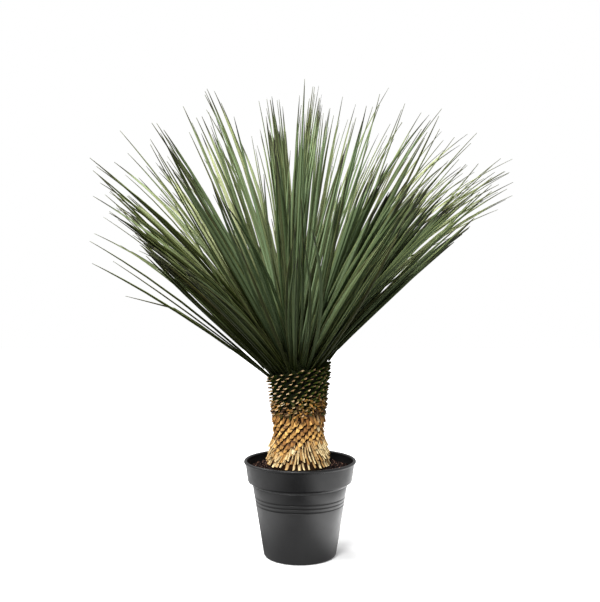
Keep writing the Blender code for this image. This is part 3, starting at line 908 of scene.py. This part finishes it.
crown = {
    "domeRadius": 0.0600,
    "domeDrop": 0.0100,
    "leaves": 300,
    "leanDraw": radians(1.5),
    "azimuthDraw": radians(2),
    "leafDraws": ((0.90, 1.02), (0.85, 1.10), (-0.028, 0.098), radians(30)),
    "seed": 11,
    "reach": (0.553, 0.568),
    "fullLean": radians(42),
    "spread": (0.368, 0.384),
    "leanMost": radians(51),
    "leanSide": 0.13,
    "leanAzimuth": radians(45),
    "leanToDome": 1.46,
    "domeAngleMost": radians(80),
    "lowest": radians(54.5),
    "rootSink": 0.0120,
    "width": 0.0090,
    "keel": 0.0019,
    "thick": 0.0007,
    # share of the length, and share of the width there
    "profile": ((0.0, 1.30), (0.08, 1.05), (0.20, 0.88), (0.36, 0.94), (0.54, 1.0), (0.72, 0.90),
                (0.84, 0.68), (0.92, 0.44), (0.965, 0.26), (1.0, 0.08)),
    # azimuth, lean, length, bend and twist of the strays; a bend is the slope beyond two thirds
    "strays": ((178, 57.5, 0.455, 0.0, 12), (188, 52.5, 0.47, 0.0, 12), (169, 55.0, 0.44, 0.0, 12),
               (176, 55.0, 0.36, 0.36, 10), (22, 41.0, 0.42, 0.40, -20), (40, 34.0, 0.50, 0.32, 15)),
    "bendFrom": 0.70,
    "bow": (0.02, 0.22),  # more arch than the solids, with a steeper start, so that the tip stays
    "bowEnd": radians(68),
    "bowPower": 2.5,
    "archMost": 0.11,  # leaves that arch more than this get no bow
    "lengths": (0.52, 1.12, 0.76),  # share of long leaves, their length, and the least of the others
    # the sides of the plant that the fan changes on: azimuth, how sharply it begins and how far off
    "frontSide": (-90, 1.6, 0.3),
    "leftSide": (-120, 3, 2),
    "thinSide": (42, 2.4, 1.0),
    "glowSide": (132, 2.4, 1.3),
    "frontPush": (radians(46), 0.50, 0.16),  # the front leaves lean out towards this, and are shorter
    "leftDroop": (radians(59), 0.25, 0.08),
    "narrow": (0.58, 0.30),  # how much narrower at the back right, and in front
    "paleness": (0.5, (0.3, 1.0)),  # painted light, at the back right, and at the back left
    "steadyRoll": (0.7, 0.2),
    "youthAndLight": (1.25, 0.36, 0.45, 0.42),  # of an upright leaf, what darkens it, the weight of the front, and the painted light gained in front at the right; a leaf darkens with age as it leans out, and as painted shade at the left and the right
    "roll": 0.85,
    "sway": 0.035,
    "fillLeaves": 110,
    "fillSeed": 31,
    "fillDraws": ((0.45, 0.74), (0.7, 1.0), (-0.04, 0.11), 0.9),
    "fillToDome": 1.4,
    # groups that arch over at the right, a few at the left, two short dark masses in front, and
    # upright ones at the left: count, azimuths, leans of the line to the tip, arch, paleness, width
    # and share of the solids' reach
    "archers": ((28, (-8, 32), (38, 49), (0.20, 0.34), (0.5, 1.0), (0.5, 0.7), 1.02),
                (6, (140, 200), (33, 43), (0.12, 0.24), (0.0, 0.3), (0.6, 0.8), 0.98),
                (16, (-75, -20), (36, 50), (0.0, 0.04), (0.0, 0.0), (0.9, 1.1), 0.80),
                (36, (-156, -116), (44, 52), (0.0, 0.05), (0.0, 0.0), (0.9, 1.15), 0.86),
                (20, (145, 215), (6, 20), (0.0, 0.05), (0.0, 0.2), (0.8, 1.0), 1.02)),
    "archGroup": 4,
    "archerDraw": (4, 2.5, (0.88, 1.0), 0.5),  # azimuth, lean, share of the length, twist
    # the dark points in front at the right: azimuth, lean and length
    "teeth": ((-52, 31, 0.429), (-46, 33.5, 0.400), (-43, 37, 0.426), (-36, 38.5, 0.437),
              (-31, 40.5, 0.415), (-27, 42.5, 0.438), (-20, 47.5, 0.425)),
    "toothHalf": 3,
    "toothStep": 1.7,
    "toothWidth": (1.15, 1.35),
    "toothDraw": (0.3, 0.4, 0.01, 0.15),  # azimuth, lean, length, twist
    "toothShape": (1.02, 0.045),  # share of the length in its middle, and less for each leaf outwards
    "spears": 76,
    "spearLean": (1, 6),
    "spearLength": (0.84, 1.0),
    "spearWidth": 0.85,
    "spearTwist": 0.6,
    "bunches": 42,
    "pull": (0.25, 0.70, 0.28),  # the last is added in front
    "leftLift": (radians(41), 0.26),  # the low leaves at the left draw up to this lean
    "heart": 0.351,  # height that the leaves' lines meet at
    "halfWidth": 0.458,
    "top": 1.026,
}


def goldenLean(k, count):
    # the leans that spread that many leaves evenly over the cap of a ball
    share = (k + 0.5) / count
    return acos(1 - (1 - cos(crown["leanMost"])) * share)


def leaning(azimuth, lean):
    # the whole fan leans away from one side
    return lean * (1 - crown["leanSide"] * cos(azimuth - crown["leanAzimuth"]))


def domeAngleAt(lean):
    return min(lean * crown["leanToDome"], crown["domeAngleMost"])


def newLeaf(azimuth, domeAngle, lean, length, width=1.0, arch=0, twist=0, bend=0, pale=0, steady=False):
    # width is a share of the usual one; a steady leaf isn't pushed, pulled or fitted
    return azimuth, domeAngle, lean, length, crown["width"] * width, arch, twist, bend, pale, steady


def leafLength(azimuth, lean):
    near, far = crown["reach"]
    reach = blendValue(near, far, lean / crown["fullLean"])
    left, right = crown["spread"]
    spread = (left + right + (right - left) * cos(azimuth)) / 2
    return min(reach, spread / max(sin(lean), 0.1))


def lifted(azimuth, lean):
    # the low leaves at the left draw up, and leave the strays alone there
    most, rate = crown["leftLift"]
    if cos(azimuth) < -0.6 and lean > most:
        return most + (lean - most) * rate
    return min(lean, crown["lowest"])


def capLeaf(draw, azimuth, lean, lengths, widths, arches, twist):
    # a leaf of the round cap, with its length, width, arch and twist drawn
    domeAngle = domeAngleAt(lean)
    lean = leaning(azimuth, lean)
    length = leafLength(azimuth, lean) * draw.uniform(*lengths)
    width = draw.uniform(*widths)
    arch = draw.uniform(*arches) * sin(lean)
    return newLeaf(azimuth, domeAngle, lifted(azimuth, lean), length, width, arch, about(draw, twist))


def leafPlan():
    # the solids' leaves
    draw = random.Random(crown["seed"])
    for k in range(crown["leaves"]):
        lean = abs(goldenLean(k, crown["leaves"]) + about(draw, crown["leanDraw"]))
        azimuth = k * goldenAngle + about(draw, crown["azimuthDraw"])
        yield capLeaf(draw, azimuth, lean, *crown["leafDraws"])
    for azimuth, lean, length, bend, twist in crown["strays"]:
        yield newLeaf(radians(azimuth), crown["domeAngleMost"], radians(lean), length,
                      twist=radians(twist), bend=bend, steady=True)


def fillPlan():
    # shorter and narrower leaves between the others, then the groups, upright leaves in the middle,
    # and the dark points in front
    draw = random.Random(crown["fillSeed"])
    for k in range(crown["fillLeaves"]):
        lean = goldenLean(k, crown["fillLeaves"]) * draw.uniform(0.90, 1.0)
        azimuth = k * goldenAngle + draw.uniform(0, 0.6)
        if sin(azimuth) >= -0.8:
            yield capLeaf(draw, azimuth, lean, *crown["fillDraws"])
    swing, tilt, part, twist = crown["archerDraw"]
    for count, azimuths, leans, arches, paleness, widths, reach in crown["archers"]:
        for k in range(count):
            if k % crown["archGroup"] == 0:
                aside, down = draw.uniform(*azimuths), draw.uniform(*leans)
            azimuth = radians(aside + about(draw, swing))
            lean = radians(down + about(draw, tilt))
            length = leafLength(azimuth, lean) * reach * draw.uniform(*part)
            arch = draw.uniform(*arches)
            yield newLeaf(azimuth, lean * crown["fillToDome"], lean - arch * 0.95, length,
                          draw.uniform(*widths), arch, about(draw, twist), 0, draw.uniform(*paleness))
    for k in range(crown["spears"]):
        azimuth = draw.uniform(0, tau)
        lean = radians(draw.uniform(*crown["spearLean"]))
        length = crown["reach"][0] * draw.uniform(*crown["spearLength"])
        twist = about(draw, crown["spearTwist"])
        yield newLeaf(azimuth, lean * crown["fillToDome"], lean, length, crown["spearWidth"], 0, twist)
    swing, tilt, part, twist = crown["toothDraw"]
    most, less = crown["toothShape"]
    for aside, down, length in crown["teeth"]:
        # side by side, the outer ones shorter
        for k in range(-crown["toothHalf"], crown["toothHalf"] + 1):
            azimuth = radians(aside + crown["toothStep"] * k + about(draw, swing))
            lean = radians(down + about(draw, tilt))
            width = draw.uniform(*crown["toothWidth"])
            reach = length * (most - less * abs(k) + about(draw, part))
            yield newLeaf(azimuth, lean * crown["leanToDome"], lean, reach, width,
                          twist=about(draw, twist), steady=True)


def bunchDirections():
    for k in range(crown["bunches"]):
        azimuth = k * goldenAngle
        lean = leaning(azimuth, goldenLean(k, crown["bunches"]))
        yield around(azimuth, sin(lean), cos(lean))


def leafPattern():
    # a flat strip folded along its rib, drawn out to a point, and given its thickness
    shares = [share for share, width in crown["profile"][1:-1]]
    piece = cutPattern(bpy.ops.mesh.primitive_plane_add, shares)
    for share, width in crown["profile"]:
        pick(piece, lambda co: abs(co.y - share) < 0.001)
        bpy.ops.transform.resize(value=(width, 1, 1), center_override=(0, share, 0))
        pick(piece, lambda co: abs(co.y - share) < 0.001 and abs(co.x) < 0.001)
        bpy.ops.transform.translate(value=(0, 0, -crown["keel"] * width))
    objectMode()
    for edge in piece.data.edges:
        first, second = (piece.data.vertices[k].co for k in edge.vertices)
        edge.use_edge_sharp = abs(first.x) + abs(second.x) < 0.001
    applied(piece, "SOLIDIFY", thickness=crown["thick"], offset=-1)
    markFaces(piece, "under", lambda normal: normal.z < -0.3)
    bpy.ops.object.shade_smooth()
    return piece


def bowOf(azimuth, lean):
    # the leaves at the sides and the back arch most, the upright and the lowest ones least
    away = blendValue(0.30, 1.0, (sin(azimuth) + 0.6) / 0.9)
    return away * max(sin(pi * lean / crown["bowEnd"]), 0) ** 0.6


def pushed(azimuth, lean, length):
    # the leaves in front lean out towards the lens, and the short ones reach further round to the right
    goal, rate, cut = crown["frontPush"]
    if lean < goal:
        lean += (goal - lean) * rate * facing(azimuth, *crown["frontSide"]) * min(lean / radians(14), 1)
    droop, most, less = crown["leftDroop"]
    left = facing(azimuth, *crown["leftSide"])
    lean += (droop - lean) * most * left * min(lean / radians(25), 1)
    short = clamp(0.6 * cos(azimuth) - 1.6 * sin(azimuth) - 0.3)
    return lean, length * (1 - less * left) * (1 - cut * short * clamp(degrees(lean) / 16 - 1.4))


def leafPoints(points, leaf, bow, roll, sway, pull, bunches):
    azimuth, domeAngle, lean, length, width, arch, twist, bend, pale, steady = leaf
    if not steady:
        lean, length = pushed(azimuth, lean, length)
    lean -= bow
    arch += bow
    along = np.array((sin(lean), 0, cos(lean)))
    upper = np.array((-cos(lean), 0, sin(lean)))
    full = length + crown["rootSink"]
    share = points[:, 1]
    turn = roll + twist * share
    across = points[:, 0] * width
    under = -points[:, 2]
    side = across * np.cos(turn) + under * np.sin(turn) + sway * full * share ** 2
    drop = arch * share ** crown["bowPower"] + bend * np.maximum(share - crown["bendFrom"], 0)
    down = under * np.cos(turn) - across * np.sin(turn) + full * drop
    placed = np.outer(full * share - crown["rootSink"], along) - np.outer(down, upper)
    placed[:, 1] -= side
    root = Matrix.Rotation(domeAngle, 3, "Y") @ (up * crown["domeRadius"])
    root.rotate(Matrix.Rotation(azimuth, 3, "Z"))
    root.rotate(Matrix.Rotation(-collar["slant"], 3, "Y"))
    root += Vector((stemX, 0, collar["joint"] - crown["domeDrop"]))
    placed = placed @ np.array(Matrix.Rotation(azimuth, 3, "Z")).T + np.array(root)
    if steady:
        return placed
    # the tips of a bunch draw together
    heart = Vector((stemX, 0, crown["heart"]))
    tip = Vector(placed[np.argmax(share)])
    reach = tip - heart
    nearest = max(bunches, key=lambda bunch: bunch.dot(reach))
    shift = (heart + nearest * reach.length - tip) * pull
    return placed + np.outer(share ** 2, np.array(shift))


def lengthShare(draw, lean):
    # about half of the leaves are long, the upright ones less so
    part, most, least = crown["lengths"]
    share = draw.uniform(least, 0.99)
    if draw.random() < part:
        share = blendValue(1.0, most, degrees(lean) / 18)
    return share


def fitted(placed, share):
    # a leaf of another length on the same root, that stays within the plant's width and height
    root = placed[:4].mean(axis=0)
    near = np.abs(root[:2]).max()
    far = np.abs(placed[:, :2]).max()
    share = min(share, (crown["halfWidth"] - near) / (far - near))
    share = min(share, (crown["top"] - root[2]) / (placed[:, 2].max() - root[2]))
    return root + (placed - root) * share


def leafMaterial():
    material, surface, uv, tint, ribs = strandMaterial("yuccaLeaf", 0.60, 0.02, 12.0, 1.6)
    pale, young = mark("pale"), mark("young")
    # age is the opposite of the young mark: leaning out ages a leaf, and its side adds painted shade
    age = calc("SUBTRACT", 1.0, young)
    # the upper face goes from dark to light and from blue green to yellow green, leaf by leaf
    cool = mix(tint, (0.050, 0.085, 0.036), (0.360, 0.470, 0.250))
    warm = mix(tint, (0.090, 0.115, 0.032), (0.460, 0.510, 0.245))
    # the pale mark paints light on the lit leaves at the back and the right
    face = mix(pale, mix(hashOf(tint, 71.0), cool, warm), (0.500, 0.540, 0.290))
    # painted shade: the upper face is darker on the old leaves and on those at the sides, less on the pale
    # ones
    face = mix(times(age, calc("SUBTRACT", 0.25, pale)), face, (0.045, 0.070, 0.022))
    # the lower face is dark, and painted darker still as shade from the light above: dark olive on the old
    # outer leaves and on those at the sides, greener on the young upright ones and on those at the back
    shade = hashOf(tint, 29.0)
    back = mix(shade, (0.014, 0.020, 0.004), (0.054, 0.063, 0.016))
    freshAndLit = mix(shade, (0.088, 0.130, 0.056), (0.380, 0.515, 0.280))
    back = mix(pale, mix(young, back, freshAndLit), (0.300, 0.335, 0.160))
    colour = mix(mark("under"), face, back)
    # a few leaves have turned brown
    turned = ramp(hashOf(tint, 113.0), 0.82, 0.88)
    colour = mix(times(turned, 0.75), colour, (0.055, 0.045, 0.018))
    # dark lines, fewer on the pale ones
    lines = times(ramp(ribs, 0.62, 0.36), calc("SUBTRACT", 0.60, times(pale, 0.50)))
    colour = mix(lines, colour, (0.018, 0.026, 0.008))
    # painted shade: very dark towards the root, deep in the crown, further along on the old and the pale
    # leaves; grey brown at the very tip
    late = calc("MAXIMUM", times(age, 0.27), times(pale, 0.36))
    root = ramp(calc("SUBTRACT", uv["Y"], late), -0.02, 0.28)
    colour = shaded(root, colour, 0.93, (0.012, 0.017, 0.002))
    colour = mix(ramp(uv["Y"], 0.88, 0.96), colour, (0.035, 0.034, 0.028))
    # thin yellow margins, and a few brown flecks
    colour = mix(edges(uv, 0.420, 0.475, 0.35), colour, (0.26, 0.29, 0.10))
    fleck = ramp(fibresOf(tint, 1.0, 7.0), 0.225, 0.16)
    feed(surface["Base Color"], mix(times(fleck, 0.8), colour, (0.20, 0.08, 0.02)))
    bump(surface, ribs, 0.35, 0.0006)
    return material


def makeHeart():
    # the dome that the leaves grow from
    radius, drop = crown["domeRadius"], collar["joint"] - crown["domeDrop"]
    angles = [radians(angle) for angle in range(0, 81, 8)]
    outline = [(radius * sin(angle), radius * cos(angle)) for angle in angles]
    heart = spinOutline("crownHeart", [*outline, (0, outline[-1][1])], 48)
    heart.data.transform(Matrix.Rotation(-collar["slant"], 4, "Y"))
    dressCore(heart, drop, "heartShade", (0.012, 0.016, 0.005), (0.004, 0.005, 0.002), "crown")


def makeCrown():
    makeHeart()
    draw = random.Random(crown["seed"] + 1)
    pattern = leafPattern()
    points = pointsOf(pattern)
    bunches = [*bunchDirections()]
    weak, strong, more = crown["pull"]
    behind, ahead = crown["narrow"]
    dim, bright = crown["paleness"]
    towards, rest = crown["steadyRoll"]
    most, darkeningScale, front, gain = crown["youthAndLight"]
    copies = []
    for leaf in [*leafPlan(), *fillPlan()]:
        azimuth, lean, arch, pale, steady = leaf[0], leaf[2], leaf[5], leaf[8], leaf[9]
        # the leaves at the back right are narrow and pale, those at the back left just pale: painted light
        # on their lit upper faces
        thin, glow = facing(azimuth, *crown["thinSide"]), facing(azimuth, *crown["glowSide"])
        if not pale and not steady:
            width = leaf[4] * (1 - behind * thin - ahead * max(-sin(azimuth), 0))
            leaf = (*leaf[:4], width, *leaf[5:])
            pale = dim * thin * draw.random() + glow * min(sin(lean) * 2, 1) * draw.uniform(*bright)
        bow = 0 if arch > crown["archMost"] else draw.uniform(*crown["bow"]) * bowOf(azimuth, lean)
        roll = about(draw, crown["roll"])
        if steady:
            # these show their lower faces to the lens
            roll = towards * cos(azimuth) + roll * rest
        sway = about(draw, crown["sway"])
        pull = draw.uniform(weak, strong) * (1 - 0.8 * pale) + (more if sin(azimuth) < -0.15 else 0)
        placed = leafPoints(points, leaf, bow, roll, sway, pull, bunches)
        # painted shade and light: the leaves at the left and the right are the darkest, a little less so
        # in front at the right, and those at the back are light; the more a leaf leans out, the older and
        # darker it is
        oldAndShaded = sin(lean) * max(abs(cos(azimuth)), -front * sin(azimuth))
        young = clamp(most - oldAndShaded / darkeningScale) + gain * max(cos(azimuth + radians(50)), 0)
        if not steady:
            placed = fitted(placed, lengthShare(draw, lean) + 0.05 * thin)
        copies.append(copyAt(pattern, placed, tint=draw.random(), pale=pale, young=min(young, 1)))
    dress(joined("crownLeaves", pattern, copies), leafMaterial(), "crown", "crown")


# studio

studio = {
    "cameraPlace": (0, -1.664, 0.542),
    "lens": 46.43,
    "sensor": 36,
    "floor": 14.0,
    # each zone holds an axis, where its ramp starts and is full, and its strength
    "cards": (("X", 0.07, 0.24, 3.6), ("X", 0.24, 0.50, -1.2), ("X", -0.08, -0.38, 1.6),
              ("Y", -0.45, -0.20, 0.35), ("Y", -0.05, 0.05, -0.35)),
    "glow": (("X", 0.25, 0.90, 0.7), ("X", -0.35, -0.95, 0.5), ("Y", 0.2, 0.9, 0.6), ("Z", 0.2, 0.9, 0.9)),
    "dimmest": 0.03,
    "nearPot": ((0.025, 0.020, 0), 0.12, 0.20),
    "contact": 0.14,  # reach of the contact shadow, then its ramps and its strength
    "contactZone": (("X", 0.165, 0.100), ("X", 0.0, 0.05), ("Y", 0.064, 0.004), ("Y", -0.076, -0.018)),
    "contactShade": 0.31,
    "lights": {  # place, aim, power and size
        "frontKey": ((-0.9, -2.7, 2.5), (0, 0, 0.55), 174, 1.3),
        "leftKey": ((-2.0, 0.5, 2.6), (0, 0, 0.42), 48, 0.7),
    },
}


def addLight(name, place, aim, power, size):
    lamp = started(bpy.ops.object.light_add, type="AREA", location=place)
    lamp.name = name
    lamp.data.energy = power
    lamp.data.shape = "DISK"
    lamp.data.size = size
    lamp.visible_camera = False
    lamp.rotation_euler = (Vector(aim) - Vector(place)).to_track_quat("-Z", "Y").to_euler()


def makeFloor():
    floor = started(bpy.ops.mesh.primitive_plane_add, size=studio["floor"], location=(0, 0, 0))
    floor.name = "floor"
    material, surface = newMaterial("paleFloor", 0.9, 0.0)
    path = node("LightPath", {})
    place = objectPlace()
    split = node("SeparateXYZ", {0: place})
    # painted light: for the lens the floor glows white, less close to the pot, so that shadows show only
    # there
    middle, start, end = studio["nearPot"]
    away = node("VectorMath", {0: place, 1: middle}, operation="DISTANCE")["Value"]
    white = mix(ramp(away, start, end), (0.20, 0.20, 0.20), (0.95, 0.95, 0.95))
    # a soft contact shadow at the right of the foot
    hidden = node("AmbientOcclusion", {"Distance": studio["contact"]}, samples=16)["AO"]
    soft = calc("MINIMUM", times(calc("SUBTRACT", 1.0, hidden), 7.0), 1.0)
    zone = [ramp(split[axis], low, high) for axis, low, high in studio["contactZone"]]
    shade = times(soft, studio["contactShade"], *zone)
    white = mix(shade, white, (0, 0, 0))
    pale = mix(shade, (0.80, 0.80, 0.80), (0, 0, 0))
    # reflections see pale cards that lie at the pot's sides and in front of it
    cards = times(path["Is Glossy Ray"], bands(split, studio["cards"], 0.0))
    feed(surface["Base Color"], mix(path["Is Camera Ray"], (0.07, 0.07, 0.07), pale))
    feed(surface["Emission Color"], mix(path["Is Camera Ray"], cards, white))
    feed(surface["Emission Strength"], 1.0)
    floor.data.materials.append(material)


def makeWorld():
    world = bpy.data.worlds.new("studioWhite")
    bpy.context.scene.world = world
    world.use_nodes = True
    openTree(world.node_tree)
    # bright at the right, behind and above, less so at the left, dim in front;
    # what the lens itself sees is plain white
    split = node("SeparateXYZ", {0: node("TexCoord", {})["Generated"]})
    glow = bands(split, studio["glow"], studio["dimmest"])
    sky = world.node_tree.nodes["Background"].inputs
    feed(sky["Strength"], node("Mix", {0: node("LightPath", {})["Is Camera Ray"], 2: glow, 3: 1.0})[0])
    feed(sky["Color"], (1, 1, 1))


def makeStudio():
    makeFloor()
    makeWorld()
    for name, values in studio["lights"].items():
        addLight(name, *values)
    camera = started(bpy.ops.object.camera_add, location=studio["cameraPlace"],
                     rotation=(radians(90), 0, 0))
    camera.data.lens = studio["lens"]
    camera.data.sensor_width = studio["sensor"]
    bpy.context.scene.camera = camera
    bpy.context.scene.view_settings.view_transform = "Standard"
    print("made the studio")


makePot()
makeSoil()
makeTrunk()
makeSkirt()
makeCollar()
makeCrown()
makeStudio()
